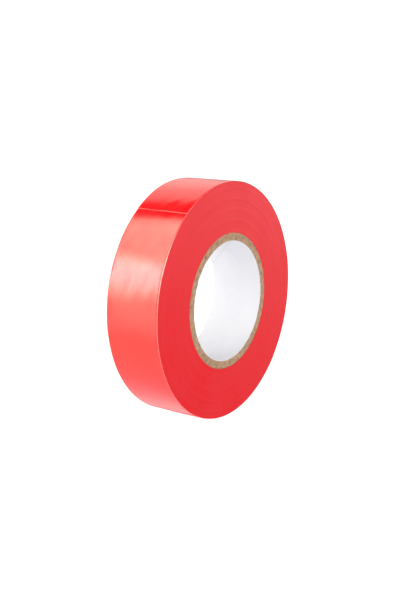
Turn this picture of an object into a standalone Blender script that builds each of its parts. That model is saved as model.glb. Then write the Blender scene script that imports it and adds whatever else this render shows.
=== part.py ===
# Roll of red PVC electrical tape, 19 mm wide, on a spiral-wound paper core.
#
# Metres, +Z up. The roll stands on its rim with its axis along Y. The origin is
# the centre of the core's bore at the middle of the width. Angles around the
# roll are in degrees in the XZ plane, from +X towards +Z, so a point of the
# roll is (radius cos angle, y, radius sin angle).
#
# Pieces: the core is five kraft plies and a white liner ply, each a strip wound
# on a helix whose two edges meet in a slanted butt seam. The tape is one long
# strip: its bonded turns are the solid wound_tape, whose outline is a spiral,
# and its free end is a chain of short strips, film above and adhesive below,
# on live hinges that run across the tape.

import bpy
import bmesh
import math
from collections import namedtuple
from mathutils import Vector

MM = 0.001

# ---- facets around the roll ----
FACET = 3.0                       # degrees of each flat
STEPS = round(360.0 / FACET)

# ---- core ----
TAPE_WIDTH = 19.0 * MM
CORE_INSET = 0.1 * MM             # from each side of the tape to the core's rim
CORE_WIDTH = TAPE_WIDTH - 2 * CORE_INSET
CORE_RADIUS = 22.05 * MM
BORE_RADIUS = 19.32 * MM
LINER_THICKNESS = 0.22 * MM
PLIES = 5
GLUE_GAP = 0.02 * MM              # under each kraft ply
PLY_THICKNESS = (CORE_RADIUS - BORE_RADIUS - LINER_THICKNESS - PLIES * GLUE_GAP) / PLIES

# ---- seams of the core's plies ----
HELIX_ANGLE = math.radians(43.4)  # of the strips' edges, from the circumference
SEAM_GAP = 0.3 * MM               # across the butt seam
LINER_SEAM_ANGLE = 51.0           # the liner's seam at the middle of the width
PLY_SEAM_STEP = 137.0             # degrees from one ply's seam to the next
BLADE_REACH = 0.4 * MM            # of a seam cutter beyond each face of its ply
BLADE_OVERRUN = 1.0 * MM          # extra travel of a seam cutter along Y
BLADE_MIN_STEPS = 8

# ---- tape ----
TAPE_PITCH = 0.15 * MM            # radius gained by each turn
END_RADIUS = 38.42 * MM           # outer surface at the tape's cut end
TAPE_INNER_RADIUS = CORE_RADIUS + 0.03 * MM

# ---- layers of the free end, as depths below its outer surface ----
# What remains of the pitch is a gap between the adhesive and the turn below.
FILM_THICKNESS = 0.110 * MM
ADHESIVE_THICKNESS = 0.028 * MM
LAYER_GAP = 0.004 * MM            # between film and adhesive
ADHESIVE_TOP = FILM_THICKNESS + LAYER_GAP
ADHESIVE_BOTTOM = ADHESIVE_TOP + ADHESIVE_THICKNESS

# ---- free end of the tape ----
END_ANGLE = 126.5                 # where the tape is cut off
SEGMENTS = 10                     # short strips between the live hinges
SEGMENT_ARC = 6.0                 # degrees of the roll under each strip
FREE_ARC = SEGMENTS * SEGMENT_ARC
ROOT_ANGLE = END_ANGLE - FREE_ARC
HINGE_GAP = 0.02 * MM             # between the end faces of neighbouring strips
HINGE_TRIM = math.degrees(HINGE_GAP / 2 / END_RADIUS)
HINGE_DISPLAY_SIZE = 4.0 * MM

# ---- colours ----
RED = (0.78, 0.035, 0.035)
DARK_RED = (0.55, 0.03, 0.03)
KRAFT = (0.47, 0.32, 0.19)
KRAFT_PALE = (0.52, 0.37, 0.23)
WHITE_PAPER = (0.84, 0.83, 0.87)

# ---- tolerances ----
RADIUS_TOLERANCE = 1e-8           # metres, radii closer than this are one
KEYS_PER_METRE = 1e9              # vertices are shared by radius to a nanometre
ANGLE_TOLERANCE = 1e-6            # degrees
MERGE_DISTANCE = 1e-6             # metres
SHARP_ANGLE = math.radians(30.0)  # edges steeper than this stay sharp

for old in list(bpy.data.objects):
    bpy.data.objects.remove(old, do_unlink=True)

parts = bpy.data.collections.new("electrical_tape_roll")
cutters = bpy.data.collections.new("cutters")
for collection in (parts, cutters):
    bpy.context.scene.collection.children.link(collection)


# ---------------------------------------------------------------- helpers

def paint(obj, colour, roughness):
    """Give a piece its own Principled material."""
    material = bpy.data.materials.new(obj.name)
    material.use_nodes = True
    shader = material.node_tree.nodes["Principled BSDF"]
    shader.inputs["Base Color"].default_value = (*colour, 1.0)
    shader.inputs["Roughness"].default_value = roughness
    material.diffuse_color = (*colour, 1.0)
    obj.data.materials.append(material)


def put(name, data, collection, parent=None):
    """Link a new object, which is an empty if data is None."""
    obj = bpy.data.objects.new(name, data)
    collection.objects.link(obj)
    obj.parent = parent
    return obj


def on_roll(radius, angle, y=0.0):
    turned = math.radians(angle)
    return Vector((radius * math.cos(turned), y, radius * math.sin(turned)))


def winding_radius(degrees_back):
    """Outer surface of the tape, this many degrees back along it from the cut end."""
    return END_RADIUS - TAPE_PITCH * degrees_back / 360.0


# ---------------------------------------------------------------- spiral band

# One radial section of a band: its angles, and the radii at its start and end.
Cell = namedtuple("Cell", "start end inner_start inner_end outer_start outer_end")


def spiral_band(name, cells, closed, origin):
    """Mesh of a tape-wide band made of cells in order of rising angle, about origin.

    Stations are the joints between cells. Where a cell's outer radius isn't
    its neighbour's, the band has a step there."""
    bm = bmesh.new()
    made = {}
    count = len(cells)

    def corner(station, angle, radius, side):
        key = (station, round(radius * KEYS_PER_METRE), side)
        if key not in made:
            made[key] = bm.verts.new(on_roll(radius, angle, side * TAPE_WIDTH / 2) - origin)
        return made[key]

    def outer_radii(station):
        """Outer radii that meet at a station, the lower first."""
        found = []
        if closed or station < count:
            found.append(cells[station % count].outer_start)
        if closed or station > 0:
            found.append(cells[(station - 1) % count].outer_end)
        found.sort()
        return found if found[-1] - found[0] > RADIUS_TOLERANCE else found[:1]

    def shared_radius(station, radius):
        """The station's own value of a radius, so that shared corners are one vertex."""
        return min(outer_radii(station), key=lambda other: abs(other - radius))

    def radii_below(station, radius):
        """The station's outer radii that lie lower than this one."""
        return [other for other in outer_radii(station) if other < radius - RADIUS_TOLERANCE]

    def across(first, second):
        """A face across the band's width, between two (station, angle, radius) places."""
        bm.faces.new([corner(*first, -1), corner(*second, -1),
                      corner(*second, 1), corner(*first, 1)])

    for index, cell in enumerate(cells):
        first = (index, cell.start)
        last = ((index + 1) % count if closed else index + 1, cell.end)
        outer_start = shared_radius(first[0], cell.outer_start)
        outer_end = shared_radius(last[0], cell.outer_end)
        outline = [(*first, cell.inner_start)]
        outline += [(*first, radius) for radius in radii_below(first[0], outer_start)]
        outline += [(*first, outer_start), (*last, outer_end)]
        outline += [(*last, radius) for radius in reversed(radii_below(last[0], outer_end))]
        outline.append((*last, cell.inner_end))
        for side in (-1, 1):
            bm.faces.new([corner(*place, side) for place in outline])
        across((*first, outer_start), (*last, outer_end))
        across((*first, cell.inner_start), (*last, cell.inner_end))

    if closed:
        for index, cell in enumerate(cells):
            radii = outer_radii(index)
            if len(radii) == 2:
                across((index, cell.start, radii[0]), (index, cell.start, radii[1]))
    else:
        head, tail = cells[0], cells[-1]
        across((0, head.start, head.inner_start), (0, head.start, head.outer_start))
        across((count, tail.end, tail.inner_end), (count, tail.end, tail.outer_end))

    bmesh.ops.recalc_face_normals(bm, faces=bm.faces)
    mesh = bpy.data.meshes.new(name)
    bm.to_mesh(mesh)
    bm.free()
    mesh.shade_smooth()
    mesh.set_sharp_from_angle(angle=SHARP_ANGLE)
    return mesh


# ---------------------------------------------------------------- wound tape

def wound_tape():
    """The bonded turns, as one solid that steps down at the cut end and at the free end's root."""
    cells = []
    for index in range(STEPS):
        start = END_ANGLE + index * FACET
        back_start = 360.0 - index * FACET
        back_end = 360.0 - (index + 1) * FACET
        if back_end < FREE_ARC - ANGLE_TOLERANCE:
            # under the free end the surface is that of the turn below
            back_start += 360.0
            back_end += 360.0
        cells.append(Cell(start, start + FACET, TAPE_INNER_RADIUS, TAPE_INNER_RADIUS,
                          winding_radius(back_start), winding_radius(back_end)))
    mesh = spiral_band("wound_tape", cells, closed=True, origin=Vector((0, 0, 0)))
    obj = put("wound_tape", mesh, parts)
    paint(obj, RED, roughness=0.28)


# ---------------------------------------------------------------- free end

def strip_layer(name, marks, top_depth, bottom_depth, hinge, place):
    """One layer of a short strip, through the angles in marks, about its hinge's place."""
    cells = []
    for start, end in zip(marks, marks[1:]):
        surface_start = winding_radius(END_ANGLE - start)
        surface_end = winding_radius(END_ANGLE - end)
        cells.append(Cell(start, end,
                          surface_start - bottom_depth, surface_end - bottom_depth,
                          surface_start - top_depth, surface_end - top_depth))
    mesh = spiral_band(name, cells, closed=False, origin=place)
    return put(name, mesh, parts, parent=hinge)


def free_end():
    """Film and adhesive strips, each pair on a hinge that hangs from the one before."""
    hinge = None
    place = Vector((0, 0, 0))
    for number in range(1, SEGMENTS + 1):
        start = ROOT_ANGLE + (number - 1) * SEGMENT_ARC
        last_place = place
        place = on_roll(winding_radius(END_ANGLE - start), start)
        hinge = put(f"tape_end_hinge_{number:02d}", None, parts, parent=hinge)
        hinge.empty_display_size = HINGE_DISPLAY_SIZE
        hinge.location = place - last_place

        marks = [start + k * FACET for k in range(round(SEGMENT_ARC / FACET) + 1)]
        marks[0] += HINGE_TRIM
        if number < SEGMENTS:
            marks[-1] -= HINGE_TRIM
        film = strip_layer(f"tape_end_film_{number:02d}", marks,
                           0.0, FILM_THICKNESS, hinge, place)
        paint(film, RED, roughness=0.25)
        adhesive = strip_layer(f"tape_end_adhesive_{number:02d}", marks,
                               ADHESIVE_TOP, ADHESIVE_BOTTOM, hinge, place)
        paint(adhesive, DARK_RED, roughness=0.6)


# ---------------------------------------------------------------- core

def rectangle(name, inner, outer, y_middle, height, collection):
    """A closed rectangular wire in the XY plane, the section of a Screw modifier."""
    low, high = y_middle - height / 2, y_middle + height / 2
    corners = [(inner, low, 0.0), (outer, low, 0.0), (outer, high, 0.0), (inner, high, 0.0)]
    mesh = bpy.data.meshes.new(name)
    mesh.from_pydata(corners, [(0, 1), (1, 2), (2, 3), (3, 0)], [])
    return put(name, mesh, collection)


def turned_ring(name, inner, outer):
    """A ring about Y, as wide as the core."""
    obj = rectangle(name, inner, outer, 0.0, CORE_WIDTH, parts)
    screw = obj.modifiers.new("turn", "SCREW")
    screw.axis = "Y"
    screw.angle = 2 * math.pi
    screw.steps = screw.render_steps = STEPS
    screw.use_merge_vertices = True
    screw.merge_threshold = MERGE_DISTANCE
    screw.use_smooth_shade = True
    return obj


def closed_blade(path):
    """A copy of the path's evaluated mesh, with its two open ends filled."""
    graph = bpy.context.evaluated_depsgraph_get()
    graph.update()
    blade = bpy.data.meshes.new_from_object(path.evaluated_get(graph))
    bm = bmesh.new()
    bm.from_mesh(blade)
    bmesh.ops.holes_fill(bm, edges=[edge for edge in bm.edges if edge.is_boundary], sides=0)
    bmesh.ops.recalc_face_normals(bm, faces=bm.faces)
    bm.to_mesh(blade)
    bm.free()
    return blade


def seam_cutter(name, inner, outer, middle_angle):
    """A thin helical blade that parts a ply along its butt seam.

    Its section is a narrow rectangle, and the Screw modifier carries it along
    the helix from beyond one rim to beyond the other."""
    height = SEAM_GAP / math.cos(HELIX_ANGLE)
    rise = CORE_WIDTH + 2 * height + BLADE_OVERRUN
    turn = rise / math.tan(HELIX_ANGLE) / ((inner + outer) / 2)
    path = rectangle(name + "_path", inner - BLADE_REACH, outer + BLADE_REACH,
                     -rise / 2, height, cutters)
    screw = path.modifiers.new("helix", "SCREW")
    screw.axis = "Y"
    screw.angle = turn
    screw.screw_offset = rise
    screw.steps = screw.render_steps = max(BLADE_MIN_STEPS, int(math.degrees(turn) / FACET))
    screw.use_merge_vertices = False
    blade = closed_blade(path)
    bpy.data.objects.remove(path, do_unlink=True)

    cutter = put(name, blade, cutters)
    # a positive turn about Y lowers the angle around the roll, so this negative
    # one brings the blade's middle up to middle_angle
    cutter.rotation_euler = (0.0, -(math.radians(middle_angle) + turn / 2), 0.0)
    cutter.hide_render = True
    cutter.display_type = "WIRE"
    return cutter


def ply(name, inner, thickness, seam_angle, colour, roughness):
    """One paper ply of the core: a ring parted along its slanted seam."""
    outer = inner + thickness
    obj = turned_ring(name, inner, outer)
    cut = obj.modifiers.new("seam", "BOOLEAN")
    cut.operation = "DIFFERENCE"
    cut.object = seam_cutter(name + "_seam", inner, outer, seam_angle)
    paint(obj, colour, roughness)


def core():
    """The liner around the bore, then the kraft plies from the inside out."""
    ply("core_liner", BORE_RADIUS, LINER_THICKNESS, LINER_SEAM_ANGLE,
        WHITE_PAPER, roughness=0.75)
    inner = BORE_RADIUS + LINER_THICKNESS + GLUE_GAP
    for number in range(1, PLIES + 1):
        ply(f"core_ply_{number}", inner, PLY_THICKNESS,
            LINER_SEAM_ANGLE + PLY_SEAM_STEP * number,
            KRAFT_PALE if number % 2 else KRAFT, roughness=0.9)
        inner += PLY_THICKNESS + GLUE_GAP


wound_tape()
free_end()
core()
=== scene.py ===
import bpy
import math
import numpy as np
from mathutils import Matrix, Vector


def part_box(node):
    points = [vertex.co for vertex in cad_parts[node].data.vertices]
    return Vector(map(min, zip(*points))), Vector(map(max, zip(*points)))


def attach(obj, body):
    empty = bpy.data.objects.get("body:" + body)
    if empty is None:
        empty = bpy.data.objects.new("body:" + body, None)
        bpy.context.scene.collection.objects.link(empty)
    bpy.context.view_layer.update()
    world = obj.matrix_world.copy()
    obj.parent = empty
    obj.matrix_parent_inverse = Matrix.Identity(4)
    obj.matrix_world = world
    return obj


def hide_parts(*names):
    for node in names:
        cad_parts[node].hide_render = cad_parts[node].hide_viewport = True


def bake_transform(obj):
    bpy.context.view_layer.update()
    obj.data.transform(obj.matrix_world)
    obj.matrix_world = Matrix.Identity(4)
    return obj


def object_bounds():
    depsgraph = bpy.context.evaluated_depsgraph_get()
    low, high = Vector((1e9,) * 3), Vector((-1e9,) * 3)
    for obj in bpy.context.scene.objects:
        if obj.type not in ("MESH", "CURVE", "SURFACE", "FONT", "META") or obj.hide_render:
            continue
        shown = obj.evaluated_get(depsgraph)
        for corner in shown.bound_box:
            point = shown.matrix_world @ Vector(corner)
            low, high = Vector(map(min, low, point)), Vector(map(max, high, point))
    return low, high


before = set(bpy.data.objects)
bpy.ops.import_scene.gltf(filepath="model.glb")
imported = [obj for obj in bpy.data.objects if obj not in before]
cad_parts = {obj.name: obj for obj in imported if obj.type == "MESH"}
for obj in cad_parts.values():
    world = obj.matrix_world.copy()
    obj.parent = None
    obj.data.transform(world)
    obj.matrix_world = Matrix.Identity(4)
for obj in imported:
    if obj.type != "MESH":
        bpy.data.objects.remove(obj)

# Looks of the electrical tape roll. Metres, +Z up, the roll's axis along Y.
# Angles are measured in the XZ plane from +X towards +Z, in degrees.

CAD_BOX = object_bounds()
MM = 0.001

# ---------------------------------------------------------------- dimensions

box_lo, box_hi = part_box("wound_tape")
HALF = (box_hi.y - box_lo.y) / 2            # half the tape's width
PITCH = 0.15 * MM                           # one turn of film and adhesive
R_END = 38.42 * MM                          # outer surface at the cut end
R_INNER = 22.08 * MM
FILM = 0.110 * MM
COAT_TOP, COAT_BOTTOM = 0.114 * MM, 0.142 * MM
T_END, SEGMENTS, ARC = 126.5, 10, 6.0
T_ROOT = T_END - SEGMENTS * ARC
EDGE = 0.11 * MM                            # radius of the tape's soft slit edge

liner_lo, liner_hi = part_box("core_liner")
CORE_HALF = (liner_hi.y - liner_lo.y) / 2
R_BORE = 19.32 * MM
R_CORE = 22.05 * MM
LINER = 0.22 * MM
PLIES = 5
GLUE = 0.02 * MM
PLY = (R_CORE - R_BORE - LINER - PLIES * GLUE) / PLIES
HELIX = math.radians(43.4)
SEAM_GAP = 0.3 * MM
LINER_SEAM_T, PLY_SEAM_STEP = 51.0, 137.0

rng = np.random.RandomState(4711)


# ---------------------------------------------------------------- smooth noise

class Waves:
    """A smooth random field over (angle, width): a sum of seeded sine waves."""

    def __init__(self, seed, count, around, across, amplitude):
        r = np.random.RandomState(seed)
        self.k = r.randint(around[0], around[1] + 1, count)       # whole waves round the roll
        self.m = r.uniform(across[0], across[1], count) * r.choice([-1, 1], count)
        self.p = r.uniform(0, 2 * np.pi, count)
        self.a = r.uniform(0.5, 1.0, count)
        self.a *= amplitude / math.sqrt(float((self.a ** 2).sum()) / 2)

    def __call__(self, t, y):
        t, y = np.asarray(t, float), np.asarray(y, float)
        out = np.zeros(np.broadcast(t, y).shape)
        for k, m, p, a in zip(self.k, self.m, self.p, self.a):
            out = out + a * np.sin(k * np.radians(t) + m * y + p)
        return out

    def slopes(self, t, y):
        """Change per radian round the roll, and per metre across it."""
        dt = np.zeros(np.broadcast(t, y).shape)
        dy = np.zeros(np.broadcast(t, y).shape)
        for k, m, p, a in zip(self.k, self.m, self.p, self.a):
            c = a * np.cos(k * np.radians(t) + m * y + p)
            dt, dy = dt + k * c, dy + m * c
        return dt, dy


class Lattice:
    """Value noise on a lattice that closes round the roll."""

    def __init__(self, seed):
        self.table = np.random.RandomState(seed).uniform(-1, 1, (1024, 256))

    def __call__(self, t, v, around, per_metre):
        """around: cells in a whole turn; per_metre: cells per metre of v."""
        u = (np.asarray(t, float) % 360.0) / 360.0 * around
        w = np.asarray(v, float) * per_metre + 4000.0
        i, j = np.floor(u).astype(int), np.floor(w).astype(int)
        fu, fw = u - i, w - j
        fu, fw = fu * fu * (3 - 2 * fu), fw * fw * (3 - 2 * fw)
        i0, i1, j0, j1 = i % around, (i + 1) % around, j % 256, (j + 1) % 256
        T = self.table
        return ((T[i0, j0] * (1 - fu) + T[i1, j0] * fu) * (1 - fw)
                + (T[i0, j1] * (1 - fu) + T[i1, j1] * fu) * fw)


# The outer turn isn't a true cylinder: it was wound over small unevennesses.
broad = Waves(11, 9, (5, 16), (40, 300), 0.020 * MM)
ripple = Waves(23, 14, (10, 26), (350, 1250), 0.0065 * MM)


ROLL_WIDTH, ROLL_DROP = 0.40 * MM, 0.045 * MM     # the film curls down a little along its near slit edge


def roll_off(y):
    q = np.clip((np.abs(np.asarray(y, float)) - (HALF - EDGE - ROLL_WIDTH)) / ROLL_WIDTH, 0, 1)
    drop = ROLL_DROP * np.where(np.asarray(y, float) > 0, 0.25, 1.0)       # and less along the far one
    return -drop * q * q, -2 * drop / ROLL_WIDTH * q * np.sign(y)


def unevenness(t, y):
    return broad(t, y) + ripple(t, y) + roll_off(y)[0]


def uneven_slopes(t, y):
    a, b = broad.slopes(t, y)
    c, d = ripple.slopes(t, y)
    return a + c, b + d + roll_off(y)[1]


def radial(t):
    a = np.radians(t)
    return np.cos(a), np.sin(a)


def film_normal(t, y, sign=1.0):
    """Outward normal of the outermost film at (t, y)."""
    dt, dy = uneven_slopes(t, y)
    c, s = radial(t)
    g = (dt + PITCH / (2 * math.pi)) / R_END
    n = np.stack([c + g * s, -dy, s - g * c], -1)
    return sign * n / np.linalg.norm(n, axis=-1, keepdims=True)


def across_columns(half, edge):
    """Rows of points across the width, closer together where the film curls down."""
    near = [half - edge, half - edge - 0.14 * MM, half - edge - 0.28 * MM]
    return [*[-y for y in near], *np.linspace(-(half - 0.62 * MM), half - 0.62 * MM, 23), *reversed(near)]


# ---------------------------------------------------------------- mesh helpers

def make(name, verts, faces, smooth=True, uv=None, slots=None, materials=()):
    """A mesh object from arrays. faces is a list of index lists, uv one pair per corner."""
    mesh = bpy.data.meshes.new(name)
    mesh.from_pydata([tuple(v) for v in np.asarray(verts, float)], [], faces)
    if smooth:
        mesh.shade_smooth()
    for m in materials:
        mesh.materials.append(m)
    if slots is not None:
        mesh.polygons.foreach_set("material_index", np.asarray(slots, np.int32))
    if uv is not None:
        layer = mesh.uv_layers.new(name="strip")
        layer.data.foreach_set("uv", np.asarray(uv, np.float32).ravel())
    mesh.update()
    obj = bpy.data.objects.new(name, mesh)
    bpy.context.scene.collection.objects.link(obj)
    return obj


def own_normals(obj, vertex_normals, mask_faces):
    """Gives the masked faces' corners the normals of vertex_normals, and leaves the rest."""
    mesh = obj.data
    count = len(mesh.loops)
    corner = np.zeros(count * 3, np.float32)
    mesh.corner_normals.foreach_get("vector", corner)
    corner = corner.reshape(-1, 3)
    index = np.zeros(count, np.int32)
    mesh.loops.foreach_get("vertex_index", index)
    start = np.zeros(len(mesh.polygons), np.int32)
    total = np.zeros(len(mesh.polygons), np.int32)
    mesh.polygons.foreach_get("loop_start", start)
    mesh.polygons.foreach_get("loop_total", total)
    use = np.repeat(np.asarray(mask_faces, bool), total)
    good = ~np.isnan(vertex_normals[index, 0])
    pick = use & good
    corner[pick] = vertex_normals[index[pick]]
    mesh.normals_split_custom_set([tuple(n) for n in corner])


def mark_slit_whitening_and_glint(obj):
    """Marks the film's slit edges in a point attribute: 0 in the middle of the film, up to 1 at the edge, partly real
    whitening by the slitting blade and partly painted highlight.

    The whitening is faint on the near side and stronger on the far one; on the near side a painted highlight, the
    glint of the key light in the rounded rim, is added round 154 degrees with a fainter trail round 172."""
    mesh = obj.data
    co = np.zeros(len(mesh.vertices) * 3, np.float32)
    mesh.vertices.foreach_get("co", co)
    x, y, z = co.reshape(-1, 3).astype(float).T
    t = np.degrees(np.arctan2(z, x)) % 360.0
    q = np.clip((np.abs(y) - (HALF - EDGE - 0.16 * MM)) / (0.16 * MM), 0, 1)
    q = q * q * (3 - 2 * q)
    # painted highlight: the key light's glint in the near rim, strongest round 154 degrees, fainter round 172
    painted_glint = np.exp(-((t - 154.0) / 12.0) ** 2) + 0.30 * np.exp(-((t - 172.0) / 24.0) ** 2)
    # near side: faint real whitening plus the painted glint; far side: real whitening only
    amount = np.where(y < 0, 0.07 + 0.90 * np.minimum(painted_glint, 1.0), 0.34)
    near_outside = np.hypot(x, z) > R_END - 0.6 * MM
    data = mesh.attributes.new("slit_whitening_and_glint", "FLOAT", "POINT")
    data.data.foreach_set("value", (q * amount * near_outside).astype(np.float32))


def face_out(obj):
    import bmesh
    bm = bmesh.new()
    bm.from_mesh(obj.data)
    bmesh.ops.recalc_face_normals(bm, faces=bm.faces)
    bm.to_mesh(obj.data)
    bm.free()
    obj.data.update()


# ---------------------------------------------------------------- node helpers

class Nodes:
    def __init__(self, tree):
        self.tree = tree

    def add(self, kind, **values):
        node = self.tree.nodes.new(kind)
        for key, value in values.items():
            if key.startswith("i_"):
                node.inputs[key[2:].replace("_", " ")].default_value = value
            else:
                setattr(node, key, value)
        return node

    def link(self, a, b):
        self.tree.links.new(a, b)

    def value(self, x, socket):
        if hasattr(x, "is_output"):
            self.link(x, socket)
        else:
            socket.default_value = x

    def math(self, op, a, b=0.0, clamp=False):
        node = self.add("ShaderNodeMath", operation=op, use_clamp=clamp)
        self.value(a, node.inputs[0])
        if len(node.inputs) > 1:
            self.value(b, node.inputs[1])
        return node.outputs[0]

    def ramp(self, x, lo, hi, out_lo=0.0, out_hi=1.0, smooth=True):
        node = self.add("ShaderNodeMapRange",
                        interpolation_type="SMOOTHSTEP" if smooth else "LINEAR")
        self.value(x, node.inputs["Value"])
        for key, v in (("From Min", lo), ("From Max", hi), ("To Min", out_lo), ("To Max", out_hi)):
            self.value(v, node.inputs[key])
        return node.outputs["Result"]

    def mix(self, factor, a, b, kind="RGBA", blend="MIX"):
        node = self.add("ShaderNodeMix", data_type=kind, clamp_factor=True)
        if kind == "RGBA":
            node.blend_type = blend
            ia, ib, out = node.inputs[6], node.inputs[7], node.outputs[2]
        else:
            ia, ib, out = node.inputs[2], node.inputs[3], node.outputs[0]
        self.value(factor, node.inputs[0])
        self.value(a, ia)
        self.value(b, ib)
        return out

    def vector(self, x, y, z):
        node = self.add("ShaderNodeCombineXYZ")
        for v, socket in zip((x, y, z), node.inputs):
            self.value(v, socket)
        return node.outputs[0]

    def noise(self, vector, scale, detail=3.0, rough=0.55, distort=0.0):
        node = self.add("ShaderNodeTexNoise", noise_dimensions="3D")
        self.link(vector, node.inputs["Vector"])
        node.inputs["Scale"].default_value = scale
        node.inputs["Detail"].default_value = detail
        node.inputs["Roughness"].default_value = rough
        node.inputs["Distortion"].default_value = distort
        return node.outputs["Fac"]

    def bump(self, height, strength, distance, normal=None):
        node = self.add("ShaderNodeBump")
        node.inputs["Strength"].default_value = strength
        node.inputs["Distance"].default_value = distance
        self.link(height, node.inputs["Height"])
        if normal is not None:
            self.link(normal, node.inputs["Normal"])
        return node.outputs["Normal"]


def material(name):
    mat = bpy.data.materials.new(name)
    mat.use_nodes = True
    n = Nodes(mat.node_tree)
    bsdf = mat.node_tree.nodes["Principled BSDF"]
    return mat, n, bsdf


def rgb(r, g, b):
    return (r, g, b, 1.0)


# ---------------------------------------------------------------- materials

def film_material():
    """Glossy soft PVC film: faint lengthwise calender lines, mottled gloss, a paler cut edge."""
    mat, n, bsdf = material("red_pvc_film")
    uv = n.add("ShaderNodeUVMap", uv_map="strip").outputs[0]
    split = n.add("ShaderNodeSeparateXYZ")
    n.link(uv, split.inputs[0])
    u, v = split.outputs[0], split.outputs[1]
    even = n.vector(u, v, 0.0)
    long = n.vector(n.math("MULTIPLY", u, 0.09), v, 0.3)
    brushed = n.vector(n.math("MULTIPLY", u, 0.25), v, 0.7)

    cloud = n.noise(even, 140.0, 3.0, 0.5)
    lines = n.noise(long, 1500.0, 2.0, 0.5)
    streak = n.noise(brushed, 420.0, 3.0, 0.55)
    grain = n.noise(even, 3200.0, 2.0, 0.5)

    tone = n.mix(n.ramp(cloud, 0.3, 0.7), rgb(0.775, 0.0072, 0.0100), rgb(0.835, 0.0098, 0.0132))
    tone = n.mix(n.ramp(lines, 0.45, 0.75, 0.0, 0.35), tone, rgb(0.70, 0.0052, 0.0080))
    worn = n.add("ShaderNodeAttribute", attribute_name="cut_edge").outputs["Fac"]
    worn = n.math("MULTIPLY", worn, n.ramp(v, -2.0 * MM, 7.0 * MM, 1.0, 0.45))   # the cut's whitening is fainter towards the far side
    tone = n.mix(worn, tone, rgb(0.86, 0.085, 0.072))
    # slit edge mark: real whitening, plus a painted highlight (the key light's glint) on the near rim
    slit = n.add("ShaderNodeAttribute", attribute_name="slit_whitening_and_glint").outputs["Fac"]
    slit = n.math("MULTIPLY", slit, n.ramp(n.noise(even, 700.0, 3.0, 0.6), 0.30, 0.62, 0.55, 1.0))
    tone = n.mix(slit, tone, rgb(0.95, 0.76, 0.58))                     # whitened by the slitting blade, and a painted cream highlight along the near rim
    n.link(tone, bsdf.inputs["Base Color"])

    rough = n.math("ADD", n.ramp(streak, 0.3, 0.72, 0.078, 0.130), n.ramp(cloud, 0.35, 0.7, 0.0, 0.035))
    rough = n.math("ADD", rough, n.math("MULTIPLY", n.math("MAXIMUM", worn, slit), 0.3))
    n.link(rough, bsdf.inputs["Roughness"])
    bsdf.inputs["IOR"].default_value = 1.5
    height = n.math("ADD", n.math("MULTIPLY", streak, 0.6), n.math("MULTIPLY", lines, 0.10))
    height = n.math("ADD", height, n.math("MULTIPLY", grain, 0.05))
    n.link(n.bump(height, 0.6, 0.020 * MM), bsdf.inputs["Normal"])
    return mat


def polar(n):
    """Object coordinates of a point on the roll: radius, and a vector that closes round it."""
    co = n.add("ShaderNodeTexCoord").outputs["Object"]
    split = n.add("ShaderNodeSeparateXYZ")
    n.link(co, split.inputs[0])
    x, y, z = split.outputs
    r = n.math("SQRT", n.math("ADD", n.math("MULTIPLY", x, x), n.math("MULTIPLY", z, z)))
    cx, cz = n.math("DIVIDE", x, r), n.math("DIVIDE", z, r)
    return co, x, y, z, r, cx, cz


def edge_material():
    """The slit edges of all the turns side by side: satin, with faint rings."""
    mat, n, bsdf = material("red_pvc_slit_edges")
    co, x, y, z, r, cx, cz = polar(n)
    rings = n.noise(n.vector(n.math("MULTIPLY", cx, 0.9), n.math("MULTIPLY", cz, 0.9),
                             n.math("MULTIPLY", r, 1500.0)), 1.0, 2.0, 0.6)
    wide = n.noise(n.vector(n.math("MULTIPLY", cx, 1.3), n.math("MULTIPLY", cz, 1.3),
                            n.math("MULTIPLY", r, 330.0)), 1.0, 2.0, 0.5)
    cloud = n.noise(co, 90.0, 4.0, 0.6)
    dust = n.noise(co, 1700.0, 3.0, 0.6)
    tone = n.mix(n.ramp(rings, 0.3, 0.7), rgb(0.630, 0.0062, 0.0126), rgb(0.648, 0.0072, 0.0136))
    tone = n.mix(n.ramp(wide, 0.35, 0.7, 0.0, 0.55), tone, rgb(0.655, 0.0096, 0.0163))
    tone = n.mix(n.ramp(cloud, 0.35, 0.65, 0.0, 0.5), tone, rgb(0.610, 0.0126, 0.0193))
    tone = n.mix(n.ramp(dust, 0.62, 0.80, 0.0, 0.22), tone, rgb(0.78, 0.036, 0.042))
    tone = n.mix(n.ramp(dust, 0.20, 0.36, 0.12, 0.0), tone, rgb(0.67, 0.0052, 0.010))
    n.link(tone, bsdf.inputs["Base Color"])
    rough = n.math("ADD", n.ramp(cloud, 0.3, 0.7, 0.30, 0.41), n.ramp(rings, 0.3, 0.7, -0.012, 0.012))
    n.link(rough, bsdf.inputs["Roughness"])
    bsdf.inputs["IOR"].default_value = 1.5
    bsdf.inputs["Specular IOR Level"].default_value = 0.38
    height = n.math("ADD", n.math("MULTIPLY", rings, 0.24), n.math("MULTIPLY", dust, 0.10))
    n.link(n.bump(height, 0.45, 0.02 * MM), bsdf.inputs["Normal"])
    return mat


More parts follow.
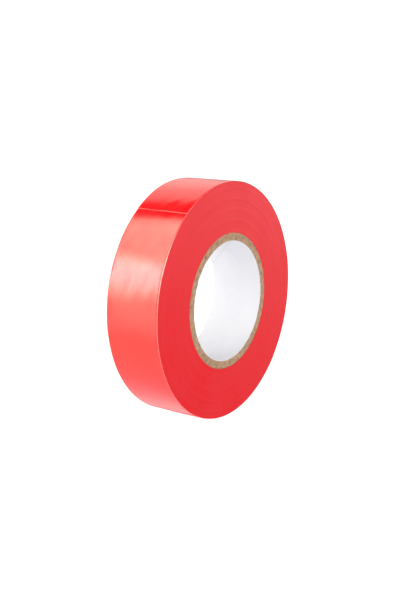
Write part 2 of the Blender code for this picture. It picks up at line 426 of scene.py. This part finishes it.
def adhesive_material():
    """The sticky underside: a dull, slightly mottled rubber coat over the red film."""
    mat, n, bsdf = material("tape_adhesive_coat")
    uv = n.add("ShaderNodeUVMap", uv_map="strip").outputs[0]
    split = n.add("ShaderNodeSeparateXYZ")
    n.link(uv, split.inputs[0])
    u, v = split.outputs[0], split.outputs[1]
    even = n.vector(u, v, 1.7)
    long = n.vector(n.math("MULTIPLY", u, 0.12), v, 2.3)
    mottle = n.noise(even, 420.0, 4.0, 0.6)
    pull = n.noise(long, 900.0, 3.0, 0.6)
    tone = n.mix(n.ramp(mottle, 0.3, 0.7), rgb(0.46, 0.013, 0.016), rgb(0.58, 0.022, 0.024))
    tone = n.mix(n.ramp(pull, 0.55, 0.8, 0.0, 0.5), tone, rgb(0.64, 0.045, 0.045))
    n.link(tone, bsdf.inputs["Base Color"])
    n.link(n.math("ADD", n.ramp(mottle, 0.3, 0.7, 0.40, 0.56), n.ramp(pull, 0.4, 0.8, 0.0, 0.12)),
           bsdf.inputs["Roughness"])
    bsdf.inputs["Specular IOR Level"].default_value = 0.4
    height = n.math("ADD", n.math("MULTIPLY", mottle, 0.6), n.math("MULTIPLY", pull, 0.5))
    n.link(n.bump(height, 0.5, 0.015 * MM), bsdf.inputs["Normal"])
    return mat


def kraft_material(name, warm):
    """Recycled kraft board, cut across: short fibres, specks and darker glue lines."""
    mat, n, bsdf = material(name)
    co, x, y, z, r, cx, cz = polar(n)
    fibres = n.noise(n.vector(n.math("MULTIPLY", cx, 26.0), n.math("MULTIPLY", cz, 26.0),
                              n.math("MULTIPLY", r, 5200.0)), 1.0, 3.0, 0.65, 0.6)
    clump = n.noise(co, 640.0, 3.0, 0.65)
    speck = n.noise(co, 1900.0, 2.0, 0.7)
    hue = n.noise(co, 830.0, 2.0, 0.5)
    a, b = (rgb(0.236, 0.144, 0.081), rgb(0.434, 0.284, 0.178))
    if warm:
        a, b = (rgb(0.250, 0.151, 0.086), rgb(0.450, 0.293, 0.188))
    tone = n.mix(n.ramp(clump, 0.32, 0.68), a, b)
    tone = n.mix(n.ramp(fibres, 0.52, 0.78, 0.0, 0.55), tone, rgb(0.56, 0.39, 0.265))
    tone = n.mix(n.ramp(fibres, 0.22, 0.42, 0.55, 0.0), tone, rgb(0.205, 0.120, 0.066))
    tone = n.mix(n.ramp(speck, 0.64, 0.76, 0.0, 0.7), tone, rgb(0.17, 0.106, 0.060))
    tone = n.mix(n.ramp(hue, 0.50, 0.72, 0.0, 0.35), tone, rgb(0.360, 0.295, 0.152))
    tone = n.mix(n.ramp(hue, 0.28, 0.50, 0.30, 0.0), tone, rgb(0.500, 0.262, 0.188))
    n.link(tone, bsdf.inputs["Base Color"])
    n.link(n.ramp(clump, 0.3, 0.7, 0.82, 0.96), bsdf.inputs["Roughness"])
    bsdf.inputs["Specular IOR Level"].default_value = 0.25
    height = n.math("ADD", n.math("MULTIPLY", fibres, 0.7), n.math("MULTIPLY", speck, 0.4))
    n.link(n.bump(height, 0.7, 0.05 * MM), bsdf.inputs["Normal"])
    return mat


def paper_material():
    """Smooth white lining paper with a faint cloudy formation."""
    mat, n, bsdf = material("white_liner_paper")
    co, x, y, z, r, cx, cz = polar(n)
    cloud = n.noise(co, 240.0, 4.0, 0.6)
    wide = n.noise(co, 60.0, 2.0, 0.5)
    fibre = n.noise(n.vector(n.math("MULTIPLY", cx, 18.0), n.math("MULTIPLY", cz, 18.0),
                             n.math("MULTIPLY", y, 1400.0)), 1.0, 3.0, 0.6, 0.4)
    speck = n.noise(co, 1500.0, 2.0, 0.6)
    tone = n.mix(n.ramp(cloud, 0.3, 0.7), rgb(0.564, 0.572, 0.626), rgb(0.589, 0.597, 0.649))
    tone = n.mix(n.ramp(wide, 0.35, 0.7, 0.0, 0.4), tone, rgb(0.602, 0.610, 0.662))
    tone = n.mix(n.ramp(speck, 0.70, 0.80, 0.0, 0.25), tone, rgb(0.55, 0.545, 0.565))
    ends = n.ramp(n.math("ABSOLUTE", y), 2.0 * MM, 9.0 * MM)           # painted shade: the paper is toned flat towards both ends of the bore, to even out the extra light that comes in there
    tone = n.mix(ends, tone, rgb(0.589, 0.595, 0.643))
    n.link(tone, bsdf.inputs["Base Color"])
    n.link(n.ramp(cloud, 0.3, 0.7, 0.58, 0.72), bsdf.inputs["Roughness"])
    bsdf.inputs["Specular IOR Level"].default_value = 0.35
    height = n.math("ADD", n.math("MULTIPLY", fibre, 0.5), n.math("MULTIPLY", cloud, 0.8))
    n.link(n.bump(height, 0.4, 0.03 * MM), bsdf.inputs["Normal"])
    return mat


MAT_FILM = film_material()
MAT_EDGE = edge_material()
MAT_COAT = adhesive_material()
MAT_KRAFT = [kraft_material("kraft_board_a", False), kraft_material("kraft_board_b", True)]
MAT_PAPER = paper_material()


# ---------------------------------------------------------------- wound turns

STATIONS = 216                              # round one turn
STEP = 360.0 / STATIONS
ROOT_STATION = int(round(SEGMENTS * ARC / STEP))
LAST = int(math.floor((R_END - R_INNER - 0.02 * MM) / PITCH * STATIONS))   # innermost end of the strip
INNER_END = LAST + STATIONS

# Each turn was laid a few hundredths of a millimetre to one side or the other.
lay = np.random.RandomState(91)
turns_total = INNER_END // STATIONS + 4
per_turn = lay.uniform(-1, 1, turns_total)
slow = [(lay.uniform(0, 2 * np.pi), period, size)
        for period, size in ((23.0, 0.0075), (11.3, 0.0042), (7.1, 0.0024), (4.3, 0.0016), (3.1, 0.0011))]


def lay_offset(turn):
    """Axial place of the strip at a fractional turn counted from the outside, metres."""
    turn = np.asarray(turn, float)
    out = np.zeros(turn.shape)
    for phase, period, size in slow:
        out = out + size * np.sin(2 * np.pi * turn / period + phase)
    whole = np.clip(np.floor(turn).astype(int), 0, turns_total - 2)
    f = turn - np.floor(turn)
    f = f * f * (3 - 2 * f)
    out = out + 0.0014 * (per_turn[whole] * (1 - f) + per_turn[whole + 1] * f)
    return out * MM


def wound_turns():
    first = ROOT_STATION
    i = np.arange(first, INNER_END + 1)
    s = i * STEP                                    # degrees back along the strip from the cut end
    t = T_END - s
    c, sn = radial(t)
    r0 = R_END - PITCH * s / 360.0
    r0 = np.where(i >= LAST, R_INNER, r0)
    below = np.clip(i + STATIONS, 0, INNER_END)
    r_below = np.where(below >= LAST, R_INNER, R_END - PITCH * below * STEP / 360.0)
    r1 = (r0 + r_below) / 2
    turn = s / 360.0
    off = lay_offset(turn)
    fade = np.clip(1.0 - (turn - 0.16) / 5.0, 0.0, 1.0)
    outer = i <= STATIONS + first                   # stations whose upper face is the outer surface
    groove = 0.014 * MM
    ends = np.clip((i - LAST + 30) / 30.0, 0, 1)
    verts, index = [], {}

    def block(key, r, y):
        start = block.count
        verts.append(np.stack([r * c, y, r * sn], -1))
        index[key] = start
        block.count += len(r)
    block.count = 0
    for side in (-1, 1):
        y1 = side * HALF + off
        y_low = side * (HALF - groove) + (off + lay_offset(turn - 1.0)) / 2
        rim = side * (HALF - 0.022 * MM) + off
        y0 = np.where(outer, rim, y_low)
        h = unevenness(t, side * HALF)
        drop = np.where(outer, 0.040 * MM, 0.0)
        block((side, 0), r0 + h * fade - drop, y0)
        block((side, 1), r1 + h * fade, y1)
    used = block.count

    # outer surface: rows across the width for stations first .. first + STATIONS
    m = STATIONS + 1
    so, to = s[:m], t[:m]
    co_, si_ = c[:m], sn[:m]
    cols = across_columns(HALF, EDGE)
    bevel = [(-1, 0.62), (-1, 0.30), *[(None, y) for y in cols], (1, 0.30), (1, 0.62)]
    rows = []
    for side, y in bevel:
        if side is None:
            r = r0[:m] + unevenness(to, y)
            yy = np.full(m, y) + off[:m]
        else:
            a = y * math.pi / 2                      # round the slit edge
            r = r0[:m] + unevenness(to, side * (HALF - EDGE)) - EDGE * 0.55 * (1 - math.cos(a))
            yy = side * (HALF - EDGE + EDGE * math.sin(a)) + off[:m]
        rows.append(used)
        verts.append(np.stack([r * co_, yy, r * si_], -1))
        used += m
    V = np.concatenate(verts)

    faces, slots, uvs, is_film = [], [], [], []
    base = {k: v for k, v in index.items()}
    n0 = LAST - first                                # stations whose turn has a turn below it
    k = np.arange(0, n0)
    for side in (-1, 1):
        A, B = base[(side, 0)], base[(side, 1)]
        q1 = np.stack([A + k, A + k + 1, B + k + 1, B + k], -1)
        q2 = np.stack([B + k, B + k + 1, A + k + 1 + STATIONS, A + k + STATIONS], -1)
        for q in (q1, q2):
            if side > 0:
                q = q[:, ::-1]
            faces.append(q)
    quads = np.concatenate(faces).tolist()
    slots = [1] * len(quads)
    film = [False] * len(quads)
    uv = np.zeros((len(quads) * 4, 2), np.float32)

    extra, extra_uv = [], []
    order = [base[(-1, 0)], *rows, base[(1, 0)]]
    widths = [-HALF] + [(-HALF + 0.02 * MM if side == -1 else HALF - 0.02 * MM if side == 1 else y)
                        for side, y in bevel] + [HALF]
    arc = -np.radians(so) * R_END
    for j in range(len(order) - 1):
        for q in range(m - 1):
            extra.append([order[j] + q, order[j + 1] + q, order[j + 1] + q + 1, order[j] + q + 1])
            extra_uv += [(arc[q], widths[j]), (arc[q], widths[j + 1]),
                         (arc[q + 1], widths[j + 1]), (arc[q + 1], widths[j])]
    film_start = len(quads)
    film += [True] * len(extra)
    slots += [0] * len(extra)

    # the step at the root of the free end, and the face it leaves
    a0, a1 = base[(-1, 0)], base[(-1, 1)]
    b0, b1 = base[(1, 0)], base[(1, 1)]
    top = [a0, *rows, b0]
    bottom = [a0 + STATIONS, *[r + m - 1 for r in rows], b0 + STATIONS]
    step = [*top, b1, *reversed(bottom), a1]
    extra.append(step)
    extra_uv += [(0.0, 0.0)] * len(step)
    slots.append(1)
    film.append(False)
    # inner surface and the thin step at the strip's inner end
    for q in range(n0, n0 + STATIONS):
        extra.append([base[(-1, 0)] + q, base[(-1, 0)] + q + 1, base[(1, 0)] + q + 1, base[(1, 0)] + q])
        extra_uv += [(0.0, 0.0)] * 4
        slots.append(1)
        film.append(False)
    extra.append([a0 + n0, a1 + n0, a0 + n0 + STATIONS, b0 + n0 + STATIONS, b1 + n0, b0 + n0])
    extra_uv += [(0.0, 0.0)] * 6
    slots.append(1)
    film.append(False)
    uv = np.concatenate([uv, np.asarray(extra_uv, np.float32)])
    # vertices that no face uses: the mid row past the strip's inner end
    used_index = np.zeros(len(V), bool)
    allf = quads + extra
    flat = np.fromiter((i_ for f in allf for i_ in f), int)
    used_index[flat] = True
    remap = np.cumsum(used_index) - 1
    allf = [[int(remap[v]) for v in f] for f in allf]
    obj = make("tape_turns", V[used_index], allf, uv=uv, slots=slots, materials=(MAT_FILM, MAT_EDGE))
    face_out(obj)
    normals = np.full((len(V), 3), np.nan)
    for r_start, (side, y) in zip(rows, bevel):
        if side is None:
            normals[r_start:r_start + m] = film_normal(to, np.full(m, y))
    own_normals(obj, normals[used_index].astype(np.float32), film)
    cut = obj.data.attributes.new("cut_edge", "FLOAT", "POINT")
    cut.data.foreach_set("value", np.zeros(int(used_index.sum()), np.float32))
    mark_slit_whitening_and_glint(obj)
    return obj


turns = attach(wound_turns(), "roll")
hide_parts("wound_tape")


# ---------------------------------------------------------------- free end of the tape


def cut_line(y):
    """Angle of the cut across the width: a hand cut, not quite square."""
    y = np.asarray(y, float)
    return (T_END - 0.35 * y / HALF - 0.06 * (y / HALF) ** 2
            + 0.03 * np.sin(y / (2.1 * MM) + 0.7) + 0.015 * np.sin(y / (0.83 * MM)))


def strip(name, t0, t1, top, bottom, mat, is_film, last=False):
    """A closed band of the free end between two depths below the outer surface."""
    steps = max(4, int(round((t1 - t0) / 0.5)))
    edge = EDGE if is_film else 0.05 * MM
    half = HALF - (0.0 if is_film else 0.05 * MM)
    cols = across_columns(half, edge)
    thick = bottom - top
    profile = [(y, 0.0, True) for y in cols]                       # upper face, left to right
    profile += [(half - edge + edge * math.sin(a * math.pi / 2), 0.55 * edge * (1 - math.cos(a * math.pi / 2)), False)
                for a in (0.30, 0.62, 0.9)]
    profile += [(half - 0.2 * edge, 0.8 * thick, False)]
    profile += [(y, thick, False) for y in reversed([cols[0], *cols[2:-2:3], cols[-1]])]
    profile += [(-(half - 0.2 * edge), 0.8 * thick, False)]
    profile += [(-(half - edge + edge * math.sin(a * math.pi / 2)), 0.55 * edge * (1 - math.cos(a * math.pi / 2)), False)
                for a in (0.9, 0.62, 0.30)]
    P = len(profile)
    off = float(lay_offset(0.1))
    stations = list(np.linspace(0.0, 1.0, steps + 1))
    if last:      # closer stations, so that the last one can round the cut over
        stations = sorted(stations + [0.965, 0.982, 0.992])
    V, N, worn, UV = [], [], [], []
    ys = np.array([p[0] for p in profile])
    depth = np.array([p[1] for p in profile])
    flat = np.array([p[2] for p in profile])
    for w in stations:
        end = cut_line(ys) if last else np.full(P, t1)
        t = t0 + (end - t0) * w
        s = T_END - t
        r = R_END - PITCH * s / 360.0 - top - depth + unevenness(t, ys)
        gap = np.radians(end - t) * R_END
        if last:                                     # the cut edge is drawn down a little
            r = r - 0.035 * MM * np.clip(1 - gap / (0.09 * MM), 0, 1) ** 2 * flat
        c, sn = radial(t)
        V.append(np.stack([r * c, ys + off, r * sn], -1))
        n = film_normal(t, ys)
        n[~flat] = np.nan
        if last:
            n[gap < 0.12 * MM] = np.nan
        N.append(n)
        worn.append(np.clip(1 - gap / (0.10 * MM), 0, 1) if last else np.zeros(P))
        UV.append(np.stack([-np.radians(s) * R_END, ys], -1))
    V, N = np.concatenate(V), np.concatenate(N)
    UV = np.concatenate(UV)
    faces = []
    count = len(stations)
    for a in range(count - 1):
        for b in range(P):
            b2 = (b + 1) % P
            faces.append([a * P + b, a * P + b2, (a + 1) * P + b2, (a + 1) * P + b])
    body = len(faces)
    faces.append([b for b in range(P)][::-1])
    faces.append([(count - 1) * P + b for b in range(P)])
    uv = np.array([UV[i] for f in faces for i in f], np.float32)
    obj = make(name, V, faces, uv=uv, materials=(mat,))
    obj.data.polygons.foreach_set("use_smooth", np.array([True] * body + [False] * 2))
    face_out(obj)
    own_normals(obj, N.astype(np.float32), [True] * body + [False] * 2)
    cut = obj.data.attributes.new("cut_edge", "FLOAT", "POINT")
    cut.data.foreach_set("value", np.concatenate(worn).astype(np.float32))
    mark_slit_whitening_and_glint(obj)
    return obj


def free_end():
    layers = (("tape_end_film", "tape_end_film_strip", 0.0, FILM, MAT_FILM, True, "red_pvc_film"),
              ("tape_end_adhesive", "tape_end_adhesive_coat", COAT_TOP, COAT_BOTTOM, MAT_COAT, False, "tape_adhesive"))
    for node, label, top, bottom, mat, is_film, slot in layers:
        for k in range(1, SEGMENTS + 2):
            t0 = T_ROOT if k == 1 else T_ROOT + (k - 1.5) * ARC
            t1 = T_ROOT + (k - 0.5) * ARC if k <= SEGMENTS else T_END
            obj = strip(f"{label}_{k:02d}", t0, t1, top, bottom, mat, is_film, last=k > SEGMENTS)
            if k == 1:
                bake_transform(obj)
            elif k <= SEGMENTS:
                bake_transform(obj)
            else:
                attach(obj, f"tape_end_{SEGMENTS:02d}")
            if k <= SEGMENTS:
                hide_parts(f"{node}_{k:02d}")


free_end()


# ---------------------------------------------------------------- paper core

fuzz = Lattice(301)
fuzz_b = Lattice(302)
nick_rng = np.random.RandomState(77)
NICKS = [(-1, 150.5, 2.6, 0.30), (-1, 132.5, 2.2, 0.24), (-1, 146.5, 1.0, 0.16), (-1, 138.0, 1.4, 0.10),
         (-1, 186.0, 1.8, 0.10), (-1, 303.0, 2.4, 0.12), (-1, 315.0, 1.5, 0.14), (-1, 338.0, 2.0, 0.10),
         (1, 40.0, 2.5, 0.18), (1, 97.0, 1.6, 0.16), (1, 201.0, 2.0, 0.22), (1, 262.0, 1.4, 0.12), (1, 331.0, 2.8, 0.15)]


def nick(t, side):
    """How far the bore's ragged rim is chipped outwards at t, metres."""
    t = np.asarray(t, float)
    out = np.zeros(t.shape)
    for s, t0, width, depth in NICKS:
        if s == side:
            d = (t - t0 + 180.0) % 360.0 - 180.0
            out = np.maximum(out, depth * np.clip(1.25 - np.abs(d) / width, 0, 1) ** 0.6)
    return out * MM


def ply(name, r_in, r_out, t_mid, stations, across, radial_cells, mat, level):
    """One paper ply: a strip wound on a helix, its two edges butted along a slanted seam.

    level 0 is the liner, then the kraft plies from the inside out. The rims are
    raw cut paper, so their faces are uneven and their corners worn."""
    r_mid = (r_in + r_out) / 2
    K = 1.0 / (r_mid * math.tan(HELIX))              # radians of seam per metre of width
    gap = math.degrees((0.045 * MM if level == 0 else SEAM_GAP) / math.sin(HELIX) / r_mid)
    h = CORE_HALF
    yy = np.concatenate([[-h], np.linspace(-h + 0.35 * MM, h - 0.35 * MM, across - 1), [h]])
    rr = np.linspace(r_in, r_out, radial_cells + 1)
    # section, anticlockwise seen along +t: lower rim, outer face, upper rim, inner face
    sec = [(r, -h, -1) for r in rr]
    sec += [(r_out, y, 0) for y in yy[1:-1]]
    sec += [(r, h, 1) for r in rr[::-1]]
    sec += [(r_in, y, 0) for y in yy[1:-1][::-1]]
    M = len(sec)
    a = np.linspace(0.0, 1.0, stations + 1)
    V = np.zeros((stations + 1, M, 3))
    for m, (r, y, rim) in enumerate(sec):
        t = t_mid - math.degrees(K * y) + gap / 2 + a * (360.0 - gap)
        radius = np.full(t.shape, r)
        depth = np.full(t.shape, y)
        if rim:
            q = (r - r_in) / (r_out - r_in)
            rough = (0.022 * fuzz(t, np.full(t.shape, r), 410, 3200.0)
                     + 0.020 * fuzz_b(t, np.full(t.shape, r), 173, 1500.0)
                     + 0.018 * fuzz(t + 77.0, np.full(t.shape, r), 61, 400.0)) * MM
            if level == 0:
                rough = rough * 0.6
            corner = 0.0
            if q in (0.0, 1.0):
                corner = (0.030 if level else 0.020) * MM
            depth = rim * (h - 0.045 * MM - corner - np.abs(rough) * 0.3 + rough * 0.7)
        if rim and r == rr[0] and level:
            radius = radius + 0.006 * MM
        if rim and r == rr[-1]:
            radius = radius - 0.004 * MM
        # the rim of the bore: chips and fraying reach the liner and the first plies
        edge = abs(abs(y) - h) < 0.5 * MM
        side = -1 if y < 0 else 1
        if edge:
            chip = nick(t, side) * np.clip(1.0 - (h - abs(y)) / (0.75 * MM), 0, 1)
            fray = (0.030 * fuzz_b(t, np.full(t.shape, 0.01 * (level + 1)), 233, 100.0)
                    + 0.022 * fuzz(t, np.full(t.shape, 0.02 * (level + 1)), 89, 100.0)) * MM
            inner = R_BORE + chip
            if level == 0:
                radius = np.maximum(radius, np.minimum(inner, r_in + LINER * 0.85 + (r - r_in) * 0.1))
                radius = radius + np.where(r < r_mid, fray * 0.5, 0.0) * (1.0 if rim else 0.3)
                depth = depth - side * np.where(chip > 0.05 * MM, 0.10 * MM, 0.0)
            elif level == 1:
                radius = np.maximum(radius, np.minimum(inner + fray * 0.6, r_in + PLY * 0.6 + (r - r_in) * 0.4))
        V[:, m, 0] = radius * np.cos(np.radians(t))
        V[:, m, 1] = depth
        V[:, m, 2] = radius * np.sin(np.radians(t))
    faces = []
    for s in range(stations):
        A, B = s * M, (s + 1) * M
        for m in range(M):
            m2 = (m + 1) % M
            faces.append([A + m, A + m2, B + m2, B + m])
    # the two butt edges, in quads from rim to rim
    n_r, n_y = radial_cells + 1, across
    outer = [n_r - 1 + j for j in range(n_y + 1)]                 # outer face, lower to upper rim
    inner = [(M - j) % M for j in range(n_y + 1)]                 # inner face, lower to upper rim
    for base_, flip in ((0, False), (stations * M, True)):
        for j in range(n_y):
            f = [outer[j], outer[j + 1], inner[j + 1], inner[j]]
            if j == 0:
                f = [outer[0], outer[1], inner[1], *range(0, n_r - 1)]
            if j == n_y - 1:
                f = [outer[j], *range(outer[n_y], outer[n_y] + n_r), inner[j]]
            f = [base_ + v for v in f]
            faces.append(f[::-1] if flip else f)
    obj = make(name, V.reshape(-1, 3), faces, materials=(mat,))
    face_out(obj)
    obj.data.set_sharp_from_angle(angle=math.radians(50.0))
    return obj


def core():
    liner = ply("liner_paper", R_BORE, R_BORE + LINER, LINER_SEAM_T, 480, 26, 2, MAT_PAPER, 0)
    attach(liner, "roll")
    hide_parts("core_liner")
    r = R_BORE + LINER + GLUE
    for k in range(PLIES):
        obj = ply(f"kraft_ply_{k + 1}", r, r + PLY, LINER_SEAM_T + PLY_SEAM_STEP * (k + 1),
                  330, 16, 3, MAT_KRAFT[k % 2], k + 1)
        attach(obj, "roll")
        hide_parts(f"core_ply_{k + 1}")
        r += PLY + GLUE


core()


# ---------------------------------------------------------------- floor

def floor():
    z = float(CAD_BOX[0].z) - 0.05 * MM
    size = 1.6
    cells = 8
    v = [(-size + 2 * size * i / cells, -size + 2 * size * j / cells, z)
         for j in range(cells + 1) for i in range(cells + 1)]
    f = [[j * (cells + 1) + i, j * (cells + 1) + i + 1, (j + 1) * (cells + 1) + i + 1, (j + 1) * (cells + 1) + i]
         for j in range(cells) for i in range(cells)]
    mat, n, bsdf = material("pale_floor")
    bsdf.inputs["Base Color"].default_value = rgb(0.30, 0.30, 0.30)
    bsdf.inputs["Roughness"].default_value = 0.9
    bsdf.inputs["Specular IOR Level"].default_value = 0.0
    bsdf.inputs["Emission Color"].default_value = rgb(1.0, 1.0, 1.0)
    bsdf.inputs["Emission Strength"].default_value = 0.92
    obj = make("floor", v, f, smooth=False, materials=(mat,))
    obj.visible_glossy = False
    obj.visible_diffuse = False
    obj.visible_shadow = False                   # the light table under it shines through


floor()


# ---------------------------------------------------------------- light

def studio():
    """Soft strip lights parallel to the roll's axis, behind it, and an even fill in front.

    Seen along Y, a direction is the angle theta from +X towards +Z; its y part
    tells the back of the studio from the front."""
    world = bpy.data.worlds.new("studio")
    bpy.context.scene.world = world
    world.use_nodes = True
    tree = world.node_tree
    tree.nodes.clear()
    n = Nodes(tree)
    out = n.add("ShaderNodeOutputWorld")
    co = n.add("ShaderNodeTexCoord").outputs["Generated"]
    split = n.add("ShaderNodeSeparateXYZ")
    n.link(co, split.inputs[0])
    x, y, z = split.outputs
    theta = n.math("MULTIPLY", n.math("ARCTAN2", z, x), 180.0 / math.pi)      # -180 .. 180
    turned = n.math("ADD", theta, 90.0)
    turned = n.math("MODULO", n.math("ADD", turned, 360.0), 360.0)            # 0 straight down, 90 is +X, 180 up, 270 is -X

    def band(a, b, soft_a, soft_b, strength, lean_a=0.0, lean_b=0.0, along=0.0):
        """A strip from theta a to b with soft edges.

        lean_a and lean_b turn its edges, in degrees per unit of y, and along
        makes it brighter towards the back, both counted from y = 0.59."""
        away = n.math("SUBTRACT", y, 0.59)
        ta = turned if not lean_a else n.math("SUBTRACT", turned, n.math("MULTIPLY", away, lean_a))
        tb = turned if not lean_b else n.math("SUBTRACT", turned, n.math("MULTIPLY", away, lean_b))
        up = n.ramp(ta, a + 90.0 - soft_a, a + 90.0 + soft_a)
        down = n.ramp(tb, b + 90.0 - soft_b, b + 90.0 + soft_b, 1.0, 0.0)
        out_ = n.math("MULTIPLY", n.math("MULTIPLY", up, down), strength)
        if along:
            gain = n.math("ADD", n.math("MULTIPLY", away, along), 1.0)
            gain = n.math("MINIMUM", n.math("MAXIMUM", gain, 0.25), 1.4)
            out_ = n.math("MULTIPLY", out_, gain)
        return out_

    def total(base, bands):
        value = base
        for one in bands:
            value = n.math("ADD", value, band(*one))
        return value

    right = band(-70.0, 70.0, 14.0, 14.0, 0.13)        # both zones are wider on the right
    wide_up, wide_down = n.math("SUBTRACT", y, right), n.math("ADD", y, right)
    share = n.math("MULTIPLY", n.ramp(n.math("ADD", y, n.math("MULTIPLY", right, 0.8)), 0.46, 0.52),
                   n.ramp(wide_up, 0.64, 0.70, 1.0, 0.0))
    side = n.math("MULTIPLY", n.ramp(wide_down, -0.34, -0.14), n.ramp(wide_up, 0.16, 0.34, 1.0, 0.0))
    rim = n.math("MULTIPLY", n.ramp(y, 0.33, 0.38), n.ramp(y, 0.46, 0.52, 1.0, 0.0))
    rim = n.math("MULTIPLY", rim, band(*RIM_LIGHT))
    front = n.math("MULTIPLY", total(FRONT_BASE, FRONT), n.ramp(y, 0.66, 0.80, 1.0, 0.36))
    light = n.mix(share, front, total(BACK_BASE, BACK), kind="FLOAT")
    light = n.mix(side, light, total(RING_BASE, RING), kind="FLOAT")
    light = n.math("ADD", light, rim)
    # the cards behind are a warmer white than the fill, and the key is the whitest of them
    warm = n.math("ADD", band(88.0, 255.0, 6.0, 30.0, 1.0), band(8.0, 88.0, 30.0, 4.0, 0.45))
    warm = n.math("SUBTRACT", warm, band(141.0, 166.0, 8.0, 9.0, 0.62))
    tint = n.mix(n.math("MULTIPLY", warm, share), rgb(1.0, 0.985, 0.985), rgb(1.03, 0.985, 0.765))
    # low in front of the roll the table carries the roll's own red
    pink = n.math("MULTIPLY", share, band(-38.0, -6.0, 9.0, 9.0, 0.85, 0.0, 0.0, -9.0))
    tint = n.mix(pink, tint, rgb(1.0, 0.22, 0.27))
    lit = n.add("ShaderNodeBackground")
    n.link(light, lit.inputs["Strength"])
    n.link(tint, lit.inputs["Color"])
    plain = n.add("ShaderNodeBackground")
    plain.inputs["Color"].default_value = rgb(1.0, 1.0, 1.0)
    plain.inputs["Strength"].default_value = 1.02
    path = n.add("ShaderNodeLightPath")
    mix = n.add("ShaderNodeMixShader")
    n.link(path.outputs["Is Camera Ray"], mix.inputs[0])
    n.link(lit.outputs[0], mix.inputs[1])
    n.link(plain.outputs[0], mix.inputs[2])
    n.link(mix.outputs[0], out.inputs["Surface"])


# theta from, theta to, half-width of each soft edge, radiance, lean of each edge, gain towards the back
BACK_BASE = 0.02
BACK = [(1.0, 67.6, 16.0, 1.8, 0.60, 0.0, 150.0),          # soft card on the right, up to the dark gap
        (20.0, 67.6, 22.0, 1.8, 0.80, 0.0, 150.0),
        (91.0, 196.0, 4.0, 24.0, 3.5, 25.0, 0.0),     # broad card on the left
        (97.0, 142.0, 8.0, 19.0, 2.9, 25.0, 0.0, -12.0),
        (138.5, 169.0, 10.0, 13.0, 7.2, -50.0, 45.0, 20.0),    # the key inside it
        (180.0, 236.0, 20.0, 30.0, 0.5),
        (190.0, 262.0, 20.0, 30.0, 0.20),
        (180.0, 300.0, 30.0, 0.5, 1.08),
        (-92.0, -53.0, 0.5, 9.0, 1.14),
        (-53.0, -7.0, 9.0, 9.0, 0.86)]
FRONT_BASE = 0.10
FRONT = [(-68.0, 75.0, 7.0, 25.0, 0.60, -45.0, 0.0),        # front card, its lower edge aslant
         (-9.0, 80.0, 10.0, 20.0, 1.15),                    # and its brighter upper part
         (75.0, 186.0, 25.0, 12.0, 1.00),
         (190.0, 300.0, 16.0, 0.5, 1.85),
         (-92.0, -66.0, 0.5, 16.0, 1.85)]
RING_BASE = 0.35
RING = [(100.0, 300.0, 35.0, 0.5, 1.1),
        (-92.0, -46.0, 0.5, 14.0, 1.1),
        (205.0, 300.0, 20.0, 0.5, 0.55),
        (-92.0, -60.0, 0.5, 14.0, 0.55),
        (128.0, 178.0, 12.0, 12.0, 0.8)]
RIM_LIGHT = (139.0, 164.0, 6.0, 9.0, 8.5)                   # the key's front end, seen in the tape's near rim

studio()


# ---------------------------------------------------------------- camera

cam_data = bpy.data.cameras.new("camera")
cam = bpy.data.objects.new("camera", cam_data)
bpy.context.scene.collection.objects.link(cam)
azimuth, elevation = math.radians(-55.317), math.radians(13.099)
back_v = Vector((math.sin(azimuth) * math.cos(elevation), -math.cos(azimuth) * math.cos(elevation), math.sin(elevation)))
right_v = Vector((math.cos(azimuth), math.sin(azimuth), 0.0))
up_v = back_v.cross(right_v)
cam.matrix_world = Matrix((
    (right_v.x, up_v.x, back_v.x, -0.24312),
    (right_v.y, up_v.y, back_v.y, -0.16644),
    (right_v.z, up_v.z, back_v.z, 0.06752),
    (0.0, 0.0, 0.0, 1.0)))
cam_data.lens = 55.403
cam_data.sensor_width = 36.0
cam_data.clip_start = 0.01
cam_data.clip_end = 20.0
bpy.context.scene.camera = cam
bpy.context.scene.view_settings.view_transform = "Standard"
